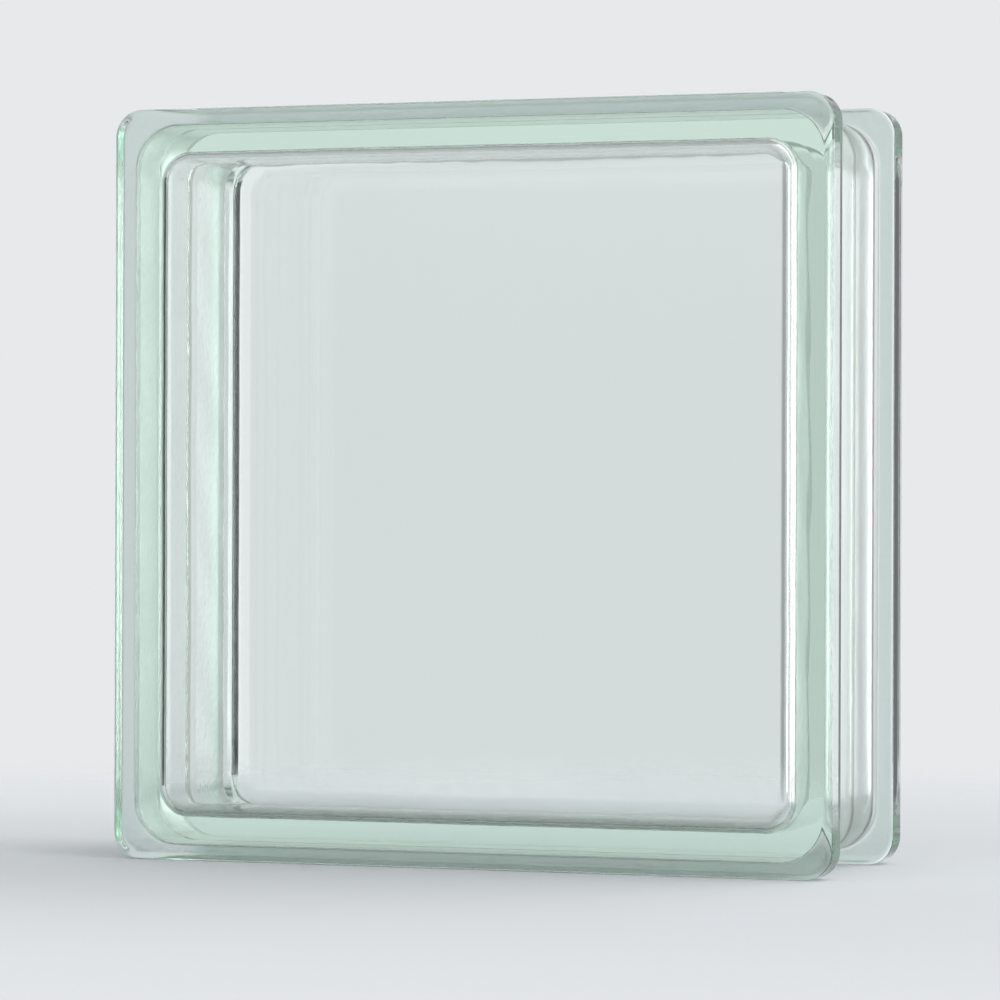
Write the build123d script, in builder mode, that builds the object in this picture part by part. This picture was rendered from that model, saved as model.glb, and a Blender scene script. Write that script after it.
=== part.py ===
from build123d import *
import os

os.makedirs("parts", exist_ok=True)

# Hollow clear glass block, 240 x 240 x 80 mm. Two pressed half shells, each a
# thick face with a rim round it, are fused rim to rim at half the depth.
# Origin at the middle of the bottom, +Z up, front face towards -Y.

# outside sizes (mm)
block_width = 240.0
block_height = 240.0
block_depth = 80.0
corner_radius = 8.8  # corners of the face, seen from the front
face_edge_radius = 2.6  # fire-polished edge between a face and its flange

# flange round each face, and the mortar key between the two flanges
flange_width = 11.5  # from the face to the flank of the key
flange_lip_radius = 1.1
key_depth = 4.9
key_flank_run = 0.5  # how far the flank leans on its way down
key_corner_radius = 14.0
key_root_ease = 0.9  # 45 degree slope at the foot of the flank

# glass left by the plunger
face_thickness = 8.5
wall_thickness = 8.0  # at the seam
wall_draft = 1.0  # degrees, the rim is thicker towards the face
cavity_corner_radius = 10.5
cavity_fillet = 4.5  # between the inside of a face and the rim

# raised line where the softened rims were pressed together
seam_height = 0.35
seam_half_width = 2.4
seam_edge_chamfer = 0.25

half_depth = block_depth / 2
key_width = block_width - 2 * key_depth
key_height = block_height - 2 * key_depth
cavity_width = key_width - 2 * wall_thickness
cavity_height = key_height - 2 * wall_thickness

# local z of this plane runs from the outer face towards the seam
front_plane = Plane(
    origin=(0, -half_depth, block_height / 2), x_dir=(-1, 0, 0), z_dir=(0, 1, 0)
)
flank_plane = front_plane.offset(flange_width)
ease_plane = flank_plane.offset(key_flank_run)
root_plane = ease_plane.offset(key_root_ease)
seam_plane = front_plane.offset(half_depth)


def edges_at(solid, plane):
    """Edges that lie wholly in the given plane."""
    depth = plane.origin.Y
    return solid.edges().filter_by_position(Axis.Y, depth - 0.01, depth + 0.01)


with BuildPart() as front_half:
    # plate and flange
    with BuildSketch(front_plane):
        RectangleRounded(block_width, block_height, corner_radius)
    extrude(amount=flange_width)

    # leaning flank of the key, from the flange down to the rim, its foot eased
    with BuildSketch(flank_plane):
        RectangleRounded(block_width, block_height, corner_radius)
    with BuildSketch(ease_plane):
        RectangleRounded(
            key_width + 2 * key_root_ease,
            key_height + 2 * key_root_ease,
            key_corner_radius + key_root_ease,
        )
    with BuildSketch(root_plane):
        RectangleRounded(key_width, key_height, key_corner_radius)
    loft(ruled=True)

    # rim
    with BuildSketch(root_plane):
        RectangleRounded(key_width, key_height, key_corner_radius)
    extrude(amount=half_depth - flange_width - key_flank_run - key_root_ease)

    # rounded edges of the flange
    fillet(edges_at(front_half, front_plane), face_edge_radius)
    fillet(edges_at(front_half, flank_plane), flange_lip_radius)

    # fused seam, half of its width on this shell
    with BuildSketch(seam_plane):
        RectangleRounded(
            key_width + 2 * seam_height,
            key_height + 2 * seam_height,
            key_corner_radius + seam_height,
        )
    extrude(amount=-seam_half_width)
    step = -seam_half_width
    bead_step = front_half.faces().filter_by_position(Axis.Y, step - 0.01, step + 0.01)[0]
    chamfer(bead_step.outer_wire().edges(), seam_edge_chamfer)

    # cavity left by the drafted plunger, widest at the seam
    with BuildSketch(seam_plane):
        RectangleRounded(cavity_width, cavity_height, cavity_corner_radius)
    extrude(amount=-(half_depth - face_thickness), taper=wall_draft, mode=Mode.SUBTRACT)
    fillet(edges_at(front_half, front_plane.offset(face_thickness)), cavity_fillet)

with BuildPart() as back_half:
    add(front_half.part.mirror(Plane.XZ))

front_half.part.label = "front_half"
back_half.part.label = "back_half"
export_step(front_half.part, "parts/front_half.step")
export_step(back_half.part, "parts/back_half.step")

for half in (front_half, back_half):
    box = half.part.bounding_box()
    mass = half.part.volume * 2.5e-6
    print(half.part.label, "solids", len(half.part.solids()), "valid", half.part.is_valid)
    print("  box", box.min, box.max, "glass %.3f kg" % mass)
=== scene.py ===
import bpy
import numpy as np
from mathutils import Matrix, Vector


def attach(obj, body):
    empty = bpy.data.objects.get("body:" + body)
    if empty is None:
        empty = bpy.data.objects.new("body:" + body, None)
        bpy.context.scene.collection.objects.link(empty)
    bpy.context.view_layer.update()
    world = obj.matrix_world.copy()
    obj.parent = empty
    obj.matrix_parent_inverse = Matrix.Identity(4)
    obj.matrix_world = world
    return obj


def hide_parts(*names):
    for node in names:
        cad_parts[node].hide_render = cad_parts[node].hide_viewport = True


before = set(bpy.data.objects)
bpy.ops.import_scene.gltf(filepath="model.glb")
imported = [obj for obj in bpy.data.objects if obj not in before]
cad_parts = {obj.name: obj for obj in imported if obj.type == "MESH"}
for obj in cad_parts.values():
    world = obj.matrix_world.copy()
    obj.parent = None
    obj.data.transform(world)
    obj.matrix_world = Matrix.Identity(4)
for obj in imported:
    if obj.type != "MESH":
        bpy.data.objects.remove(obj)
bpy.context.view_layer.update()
print("stage: packed block loaded")


def arc(cx, cy, r, startDeg, endDeg, steps):
    # points on a circle in the plane of the profile: centre + r * (cos, sin)
    a = np.radians(np.linspace(startDeg, endDeg, steps))
    return np.stack([cx + r * np.cos(a), cy + r * np.sin(a)], axis=1)


def span(p, q, steps, guard=0.00012, most=0.2):
    # Straight run between p and q without its two ends. Its first and last points sit one
    # guard away from them, but no more than a fifth of the run, which keeps the shading
    # flat right up to the curves. Point = (1 - t) * p + t * q.
    near = min(guard / np.hypot(*np.subtract(q, p)), most)
    t = np.linspace(near, 1 - near, steps + 2)
    return np.outer(1 - t, p) + np.outer(t, q)


def squareLoop(sideSteps, cornerSteps, guard=0.0014, crowd=0.25):
    # One closed loop round a rounded square, the same for every station of a profile.
    # pull = the corner centre that a point hangs from, which slides from -1 to 1 along
    # a side and crowds a little towards the corners; aim = unit direction away from it.
    # Point = (half - r) * pull + r * aim.
    t = np.linspace(-1 + guard, 1 - guard, sideSteps)
    t = np.concatenate([[-1.0], t * (1 + crowd - crowd * t * t), [1.0]])[:-1]
    a = np.linspace(0.0, np.pi / 2, cornerSteps, endpoint=False)
    pull = np.concatenate([np.stack([np.ones_like(t), t], axis=1), np.ones((cornerSteps, 2))])
    aim = np.concatenate([np.stack([np.ones_like(t), np.zeros_like(t)], axis=1),
                          np.stack([np.cos(a), np.sin(a)], axis=1)])
    turns = [np.array([[c, s], [-s, c]]) for c, s in ((1, 0), (0, 1), (-1, 0), (0, -1))]
    return (np.concatenate([pull @ turn for turn in turns]),
            np.concatenate([aim @ turn for turn in turns]))


def ripple(x, y, z, seed, lengths, terms=9, stretch=(1, 1, 1)):
    # uneven surface between about -1 and 1: plane waves added up, each with a random
    # heading in space, a wavelength between the two given and a random phase
    rng = np.random.default_rng(seed)
    total = 0.0
    for _ in range(terms):
        heading = rng.normal(size=3)
        heading = heading / np.linalg.norm(heading) * 2 * np.pi / rng.uniform(*lengths)
        a, b, c = heading / np.asarray(stretch)
        total = total + np.sin(a * x + b * y + c * z + rng.uniform(0, 2 * np.pi))
    return total / np.sqrt(terms)


def ease(v, low, high):
    # 0 below low, 1 above high, and a smooth step t * t * (3 - 2t) between
    t = np.clip((v - low) / (high - low), 0, 1)
    return t * t * (3 - 2 * t)


def gridFaces(rows, columns, offset, flip):
    # quads between neighbouring loops; each loop closes on itself
    r = np.arange(rows - 1)[:, None]
    c = np.arange(columns)[None, :]
    n = (c + 1) % columns
    quads = np.stack(np.broadcast_arrays(r * columns + c, r * columns + n,
                                         (r + 1) * columns + n, (r + 1) * columns + c), axis=-1)
    quads = quads.reshape(-1, 4) + offset
    return quads[:, ::-1] if flip else quads


def capFaces(loopStart, columns, centre, flip):
    # fan of triangles from one loop to its middle point
    c = np.arange(columns)
    tris = np.stack([np.full(columns, centre), loopStart + (c + 1) % columns, loopStart + c], axis=1)
    return tris[:, ::-1] if flip else tris


def meshPiece(name, points, quads, tris, material):
    # arrays straight into the mesh, quads first and then triangles
    mesh = bpy.data.meshes.new(name)
    mesh.vertices.add(len(points))
    mesh.vertices.foreach_set("co", np.asarray(points, dtype=np.float32).ravel())
    corners = np.concatenate([quads.ravel(), tris.ravel()]).astype(np.int32)
    starts = np.concatenate([np.arange(len(quads)) * 4, len(quads) * 4 + np.arange(len(tris)) * 3])
    mesh.loops.add(len(corners))
    mesh.loops.foreach_set("vertex_index", corners)
    mesh.polygons.add(len(starts))
    mesh.polygons.foreach_set("loop_start", starts.astype(np.int32))
    mesh.polygons.foreach_set("use_smooth", np.ones(len(starts), dtype=bool))
    mesh.update(calc_edges=True)
    mesh.validate()
    mesh.materials.append(material)
    piece = bpy.data.objects.new(name, mesh)
    bpy.context.scene.collection.objects.link(piece)
    return piece


nodeLayout = {"right": 220, "down": 360, "inRow": 12}
mixSockets = {"FLOAT": (2, 3, 0), "RGBA": (6, 7, 2)}    # low, high and result


def emptyTree(owner):
    owner.use_nodes = True
    owner.node_tree.nodes.clear()
    return owner.node_tree


def put(tree, value, socket):
    # the output of another node, or else a plain value
    if isinstance(value, bpy.types.NodeSocket):
        tree.links.new(value, socket)
    else:
        socket.default_value = value


def node(tree, kind, **values):
    # A shader node, laid out in rows in the order of making. A keyword sets a property of
    # that name, or else the input of that name.
    made = tree.nodes.new(kind)
    row, column = divmod(len(tree.nodes) - 1, nodeLayout["inRow"])
    made.location = (column * nodeLayout["right"], -row * nodeLayout["down"])
    for key, value in values.items():
        if hasattr(made, key):
            setattr(made, key, value)
        else:
            put(tree, value, made.inputs[key.replace("_", " ")])
    return made


def maths(tree, kind, *values):
    made = node(tree, "ShaderNodeMath", operation=kind)
    for socket, value in zip(made.inputs, values):
        put(tree, value, socket)
    return made.outputs[0]


def band(tree, value, start, end):
    # smooth step from 0 at the start to 1 at the end, whichever of the two is larger
    made = node(tree, "ShaderNodeMapRange", interpolation_type="SMOOTHSTEP",
                Value=value, From_Min=start, From_Max=end)
    return made.outputs["Result"]


def blend(tree, kind, mask, low, high):
    # low where the mask is 0 and high where it is 1
    made = node(tree, "ShaderNodeMix", data_type=kind)
    first, second, result = mixSockets[kind]
    put(tree, mask, made.inputs[0])
    put(tree, low, made.inputs[first])
    put(tree, high, made.inputs[second])
    return made.outputs[result]


glassLook = {
    "clear": (0.996, 1.0, 0.998, 1.0),
    "ior": 1.52,
    "bodyColour": (0.70, 0.94, 0.80, 1.0),
    "bodyDensity": 10.0,
    "sideReach": (0.1087, 0.1093),   # the sides start this far from the middle
    "frostEnd": (0.0280, 0.0274),    # frosted floor of the mortar key, out from the seam
    "frostColour": (0.955, 0.965, 0.945, 1.0),
    "frostRoughness": 0.30,
    "frostClear": 0.90,              # how much light still passes
    "footStart": (0.0224, 0.0240),   # from here to the flank the floor is denser
    "footClear": 0.45,
    "flankEnd": (0.0290, 0.0286),    # stippled flank between the floor and the flange; its colour is the glass's green plus painted shade
    "flankGreenAndShade": (0.64, 0.74, 0.70, 1.0),
    "flankRoughness": 0.30,
    "flankClear": 0.9,
    "seamShadeEnd": (0.0022, 0.0010),     # painted shade along the fused seam bead: dark grey colour in place of its shading
    "seamShadeColour": (0.34, 0.34, 0.29, 1.0),
    "stippleScale": 420.0,
    "stippleDetail": 1.0,
    "stippleHeight": 0.00012,
}


def clearGlass():
    # Fire-polished glass whose rim is frosted and stippled outside. Masks are worked out
    # from the distance to the middle (sides or not) and from the depth along Y:
    # mask = smooth step between the two numbers of a setting.
    # The flank and seam layers of the colour are painted shade over the real glass and frost colours.
    look = glassLook
    material = bpy.data.materials.new("clearGlass")
    tree = emptyTree(material)
    where = node(tree, "ShaderNodeTexCoord").outputs["Object"]
    axes = node(tree, "ShaderNodeSeparateXYZ", Vector=where).outputs
    across = maths(tree, "ABSOLUTE", axes["X"])
    rise = maths(tree, "ABSOLUTE", maths(tree, "SUBTRACT", axes["Z"], blockShape["half"]))
    depth = maths(tree, "ABSOLUTE", axes["Y"])
    sides = band(tree, maths(tree, "MAXIMUM", across, rise), *look["sideReach"])
    frost, flank, seam = [maths(tree, "MULTIPLY", sides, band(tree, depth, *look[ends]))
                          for ends in ("frostEnd", "flankEnd", "seamShadeEnd")]
    foot = maths(tree, "MULTIPLY", frost, band(tree, depth, *look["footStart"]))

    # each layer over the clear glass, by its mask
    # flank colour: the glass's own green, darkened by painted shade because the flank faces away from the
    # light
    tintAndShade = blend(tree, "RGBA", flank, look["clear"], look["flankGreenAndShade"])
    tintAndShade = blend(tree, "RGBA", frost, tintAndShade, look["frostColour"])
    # painted shade: the seam band is coloured dark grey where the bead is only shaded
    tintAndShade = blend(tree, "RGBA", seam, tintAndShade, look["seamShadeColour"])
    rough = blend(tree, "FLOAT", flank, 0.0, look["flankRoughness"])
    rough = blend(tree, "FLOAT", frost, rough, look["frostRoughness"])
    passes = blend(tree, "FLOAT", flank, 1.0, look["flankClear"])
    passes = blend(tree, "FLOAT", frost, passes, look["frostClear"])
    denser = maths(tree, "MULTIPLY", foot, look["footClear"] - look["frostClear"])
    passes = maths(tree, "ADD", passes, denser)

    grain = node(tree, "ShaderNodeTexNoise", Vector=where,
                 Scale=look["stippleScale"], Detail=look["stippleDetail"])
    bump = node(tree, "ShaderNodeBump", Strength=flank, Height=grain.outputs["Fac"],
                Distance=look["stippleHeight"])
    skin = node(tree, "ShaderNodeBsdfPrincipled", IOR=look["ior"], Base_Color=tintAndShade,
                Roughness=rough, Transmission_Weight=passes, Normal=bump.outputs["Normal"])
    body = node(tree, "ShaderNodeVolumeAbsorption",
                Color=look["bodyColour"], Density=look["bodyDensity"])
    node(tree, "ShaderNodeOutputMaterial", Surface=skin.outputs["BSDF"],
         Volume=body.outputs["Volume"])
    return material


blockShape = {
    "half": 0.120,          # half of the width and of the height
    "halfDepth": 0.040,
    "corner": 0.0088,
    "edge": 0.0026,         # polished edge of the faces
    "flange": 0.0115,
    "lip": 0.0011,
    "key": 0.0049,
    "flankRun": 0.0005,
    "keyCorner": 0.014,
    "root": 0.0007,
    "bead": 0.00033,        # height of the fused seam
    "beadHalf": 0.0024,
    "beadPower": 1.5,       # above 1 its sides run out softly
    "face": 0.0085,         # glass thickness of a face
    "wall": 0.0080,         # glass thickness of the rim at the seam
    "draft": 1.0,
    "cavityCorner": 0.0105,
    "cavityFillet": 0.0050,
    "keyMargin": 0.002,     # corners already widen this far before the key starts
    "outsideSteps": (60, 18),   # along a side and round a corner
    "insideSteps": (150, 14),
    "arcSteps": 12,         # points of a large round in the profile
    "smallArcSteps": 9,     # points of a small one
    "shortSteps": 3,        # points of a short straight run
    "keySteps": 5,
    "wallSteps": 13,
    "rings": 8,             # loops across a face
    "ringCrowd": 1.6,       # above 1 they crowd towards the edge
    "ringGuard": 0.00015,   # last loop before the edge
}

blockWaves = {
    "wallHeight": 0.00007,          # long waves of the rim's inside, left by the plunger
    "wallLengths": (0.030, 0.080),
    "wallSeed": 11,
    "wallStart": (0.094, 0.104),    # half widths between which they set in
    "wallStretch": (1, 0.6, 1),
    "filletHeight": 0.000015,       # short ones along the inside fillets
    "filletLengths": (0.006, 0.011),
    "filletSeed": 12,
    "filletReach": (1.5, 0.6),      # in inside fillets, from the face back
    "outsideHeight": 0.00001,
    "outsideLengths": (0.020, 0.060),
    "outsideSeed": 3,
    "outsideStart": (0.100, 0.112),
    "outsideBase": 1.2,             # keeps the waves inside the plain surface
}


def outsideProfile(s):
    # inset from the outside plane and depth, from the edge of the front face to the seam
    d = s["halfDepth"]
    lean = np.degrees(np.arctan2(s["flankRun"], s["key"]))
    small = s["smallArcSteps"]
    edgeArc = arc(s["edge"], -d + s["edge"], s["edge"], 270, 180, s["arcSteps"])
    flankTop = -d + s["flange"]
    tangent = np.tan(np.radians((90 - lean) / 2))
    lipArc = arc(s["lip"], flankTop - s["lip"] * tangent, s["lip"], 180, 90 + lean, small)
    rootY = flankTop + s["flankRun"]
    rootArc = arc(s["key"] - s["root"], rootY + s["root"] * tangent, s["root"], -90 + lean, 0, small)
    y = np.linspace(-s["beadHalf"], 0.0, small)
    swell = s["bead"] * (1 - (y / s["beadHalf"]) ** 2) ** s["beadPower"]
    bead = np.stack([s["key"] - swell, y], axis=1)
    return np.concatenate([edgeArc, span(edgeArc[-1], lipArc[0], s["shortSteps"]), lipArc,
                           span(lipArc[-1], rootArc[0], s["shortSteps"]), rootArc,
                           span(rootArc[-1], bead[0], s["keySteps"]), bead])


def insideProfile(s):
    # the same for the cavity: inside fillet of the face, then the drafted wall to the seam
    d = s["halfDepth"] - s["face"]
    slope = np.tan(np.radians(s["draft"]))
    deepInset = s["key"] + s["wall"] + d * slope
    r = s["cavityFillet"]
    filletArc = arc(deepInset + r * (1 - slope), -d + r, r, 270, 180 + s["draft"], s["arcSteps"])
    seam = np.array([s["key"] + s["wall"], 0.0])
    return np.concatenate([filletArc, span(filletArc[-1], seam, s["wallSteps"]), seam[None, :]])


def wholeSection(front, radiusOf):
    # Rows of inset, depth and corner radius, from the middle of the front face round the
    # side to the middle of the back face; the seam station is kept once. Rings of a face:
    # distance from the middle = (half - edge) * (1 - (1 - t) ^ crowd), t from 0 to 1.
    s = blockShape
    half, rings = s["half"], s["rings"]
    t = np.linspace(0.0, 1.0, rings + 1)[1:-1]
    inset = np.append(half - (half - front[0, 0]) * (1 - (1 - t) ** s["ringCrowd"]),
                      front[0, 0] + s["ringGuard"])
    face = np.stack([inset, np.full(rings, front[0, 1])], axis=1)
    front = np.concatenate([face, front])
    radius = radiusOf(front[:, 0], front[:, 1])
    radius[:rings] = radius[rings] * (half - inset) / (half - front[rings, 0])
    front = np.column_stack([front, radius])
    return np.concatenate([front, front[:-1][::-1] * np.array([1.0, -1.0, 1.0])])


def blockSurface(section, steps, waveOf):
    # Point = (half - inset - r) * pull + r * aim at every station of the section, then
    # moved along the normal of the profile by the height of the waves there.
    half = blockShape["half"]
    pull, aim = squareLoop(*steps)
    inset, depth, r = section[:, 0:1], section[:, 1:2], section[:, 2:3]
    slope = np.gradient(section[:, :2], axis=0)
    slope /= np.hypot(slope[:, 0], slope[:, 1])[:, None]
    x = (half - inset - r) * pull[:, 0] + r * aim[:, 0]
    z = (half - inset - r) * pull[:, 1] + r * aim[:, 1]
    lift = waveOf(x, depth, z, inset)
    inset = inset - lift * slope[:, 1:2]
    x = (half - inset - r) * pull[:, 0] + r * aim[:, 0]
    z = (half - inset - r) * pull[:, 1] + r * aim[:, 1]
    return x, depth + lift * slope[:, 0:1], z


def makeBlock(material):
    s, w = blockShape, blockWaves
    half = s["half"]

    def outsideRadius(inset, depth):
        inKey = np.abs(depth) < s["halfDepth"] - s["flange"] + s["keyMargin"]
        widen = (s["keyCorner"] - s["corner"]) * inset / s["key"]
        return s["corner"] + np.where(inKey, widen, -inset)

    def insideRadius(inset, depth):
        return s["cavityCorner"] - (inset - s["key"] - s["wall"])

    def outsideWave(x, y, z, inset):
        long = ripple(x, y, z, w["outsideSeed"], w["outsideLengths"])
        return -w["outsideHeight"] * (w["outsideBase"] + long) * ease(half - inset, *w["outsideStart"])

    def insideWave(x, y, z, inset):
        deep = s["halfDepth"] - s["face"]
        ends = [deep - s["cavityFillet"] * reach for reach in w["filletReach"]]
        wall = ease(half - inset, *w["wallStart"])
        fillet = ease(np.abs(y), *ends) * wall
        long = ripple(x, y, z, w["wallSeed"], w["wallLengths"], stretch=w["wallStretch"])
        short = ripple(x, y, z, w["filletSeed"], w["filletLengths"])
        return w["wallHeight"] * long * wall + w["filletHeight"] * short * fillet

    outside = blockSurface(wholeSection(outsideProfile(s), outsideRadius), s["outsideSteps"], outsideWave)
    inside = blockSurface(wholeSection(insideProfile(s), insideRadius), s["insideSteps"], insideWave)
    points, quads, tris = [], [], []
    start = 0
    for (x, y, z), flip in ((outside, True), (inside, False)):
        rows, columns = x.shape
        y = np.broadcast_to(y, x.shape)
        points.append(np.stack([x, y, z + half], axis=-1).reshape(-1, 3))
        points.append(np.array([[0, y[0].mean(), half], [0, y[-1].mean(), half]]))
        quads.append(gridFaces(rows, columns, start, flip))
        middle = start + rows * columns
        tris.append(capFaces(start, columns, middle, flip))
        tris.append(capFaces(middle - columns, columns, middle + 1, not flip))
        start = middle + 2
    piece = meshPiece("glassBlock", np.concatenate(points), np.concatenate(quads),
                      np.concatenate(tris), material)
    print("stage: block mesh,", 2 * sum(map(len, quads)) + sum(map(len, tris)), "triangles")
    return piece


glass = clearGlass()
block = makeBlock(glass)
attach(block, "root")
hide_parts("front_half", "back_half")


studio = {
    "floorColour": (0.86, 0.87, 0.88, 1.0),
    "floorRadius": 0.62,        # the floor melts into the surroundings from floorFade on
    "floorFade": 0.20,
    "floorMargin": 1.05,
    "cameraPale": (0.80, 0.815, 0.83, 1.0),     # even background for the camera itself
    "surround": (0.72, 0.74, 0.76),             # level and tint between the panels
}

# soft panels round the block, laid over one another in this order:
# azimuth from and to, height from and to, softness (degrees), brightness
panels = [
    ("ceiling", -180, 180, 62, 95, 8, 0.45),
    ("ceilingRight", -5, 125, 36, 62, 8, 1.7),
    ("ceilingLeft", -130, -5, 36, 62, 8, 0.48),
    ("backdropLeft", -54, -25, -95, 36, 3, 0.92),
    ("backdropMiddle", -24, 4, -95, 36, 4, 0.82),
    ("backdropGap", -12, -3, -95, 36, 2.5, 0.40),
    ("backdropRight", 4, 27, -95, 36, 4, 0.66),
    ("rightSoftbox", 27, 125, -95, 20, 4, 3.0),
    ("rightSoftboxTop", 20, 120, 18, 40, 5, 1.6),
    ("leftFlagTop", -108, -58, 16, 34, 5, 0.40),
    ("leftFlag", -118, -52, -95, 17, 1.5, 0.0),
    ("behindLow", 125, 184, -95, 6, 5, 0.15),
    ("behindLowLeft", -184, -155, -95, 6, 5, 0.15),
]


def floorMaterial():
    # pale matt floor that turns see-through towards its rim
    s = studio
    material = bpy.data.materials.new("paleFloor")
    tree = emptyTree(material)
    where = node(tree, "ShaderNodeTexCoord").outputs["Object"]
    reach = node(tree, "ShaderNodeVectorMath", operation="LENGTH")
    put(tree, where, reach.inputs[0])
    skin = node(tree, "ShaderNodeBsdfDiffuse", Color=s["floorColour"])
    clear = node(tree, "ShaderNodeBsdfTransparent")
    mix = node(tree, "ShaderNodeMixShader",
               Fac=band(tree, reach.outputs["Value"], s["floorFade"], s["floorRadius"]))
    put(tree, skin.outputs["BSDF"], mix.inputs[1])
    put(tree, clear.outputs["BSDF"], mix.inputs[2])
    node(tree, "ShaderNodeOutputMaterial", Surface=mix.outputs["Shader"])
    return material


def makeFloor():
    # a flat square a little larger than the fade
    r = studio["floorRadius"] * studio["floorMargin"]
    points = np.array([[-r, -r, 0], [r, -r, 0], [r, r, 0], [-r, r, 0]])
    floor = meshPiece("paleFloor", points, np.array([[0, 1, 2, 3]]), np.zeros((0, 3), dtype=int),
                      floorMaterial())


makeFloor()
print("stage: floor")


def roomLight():
    # World lit by direction: every panel is a soft-edged patch of azimuth and height,
    # laid over the level below it. The camera itself sees an even pale background.
    s = studio
    world = bpy.data.worlds.new("roomLight")
    tree = emptyTree(world)
    where = node(tree, "ShaderNodeTexCoord").outputs["Generated"]
    axes = node(tree, "ShaderNodeSeparateXYZ", Vector=where).outputs
    azimuth = maths(tree, "ARCTAN2", axes["X"], axes["Y"])
    height = maths(tree, "ARCSINE", axes["Z"])

    def within(angle, start, end, soft):
        # soft = half the width of each edge
        opens = band(tree, angle, *np.radians([start - soft, start + soft]))
        closes = band(tree, angle, *np.radians([end + soft, end - soft]))
        return maths(tree, "MULTIPLY", opens, closes)

    level = middle = s["surround"][1]
    for name, left, right, bottom, top, soft, bright in panels:
        patch = maths(tree, "MULTIPLY", within(azimuth, left, right, soft),
                      within(height, bottom, top, soft))
        patch.node.label = name
        level = blend(tree, "FLOAT", patch, level, bright)
    tone = node(tree, "ShaderNodeVectorMath", operation="SCALE", Scale=level)
    put(tree, [value / middle for value in s["surround"]], tone.inputs[0])
    cameraRay = node(tree, "ShaderNodeLightPath").outputs["Is Camera Ray"]
    seen = blend(tree, "RGBA", cameraRay, tone.outputs[0], s["cameraPale"])
    back = node(tree, "ShaderNodeBackground", Color=seen)
    node(tree, "ShaderNodeOutputWorld", Surface=back.outputs[0])
    bpy.context.scene.world = world


roomLight()
print("stage: light")


camera = {
    "place": (0.52722, -1.40603, 0.11660),
    "yaw": 20.635,              # degrees, to the left of straight ahead
    "pitch": 0.049,             # down
    "roll": 0.178,
    "sensor": 36.0,             # mm
    "lens": 169.1208,
    "farEnd": 50.0,
}


def placeCamera():
    yaw, pitch, roll = np.radians([camera["yaw"], camera["pitch"], camera["roll"]])
    ahead = Vector((-np.sin(yaw), np.cos(yaw), 0))
    right = Vector((np.cos(yaw), np.sin(yaw), 0))
    up = Vector((0, 0, 1))
    ahead, up = ahead * np.cos(pitch) - up * np.sin(pitch), up * np.cos(pitch) + ahead * np.sin(pitch)
    right, up = right * np.cos(roll) + up * np.sin(roll), up * np.cos(roll) - right * np.sin(roll)
    lens = bpy.data.cameras.new("camera")
    lens.sensor_fit = "HORIZONTAL"
    lens.sensor_width = camera["sensor"]
    lens.lens = camera["lens"]
    lens.clip_end = camera["farEnd"]
    eye = bpy.data.objects.new("camera", lens)
    turn = Matrix((right, up, -ahead)).transposed().to_4x4()
    eye.matrix_world = Matrix.Translation(Vector(camera["place"])) @ turn
    bpy.context.scene.collection.objects.link(eye)
    bpy.context.scene.camera = eye


placeCamera()

bounces = {
    "max_bounces": 12,              # enough for light that is guided along the rim
    "transmission_bounces": 12,
    "glossy_bounces": 10,
    "transparent_max_bounces": 8,
}

scene = bpy.context.scene
scene.view_settings.view_transform = "Standard"
for name, count in bounces.items():
    setattr(scene.cycles, name, count)
print("stage: camera")
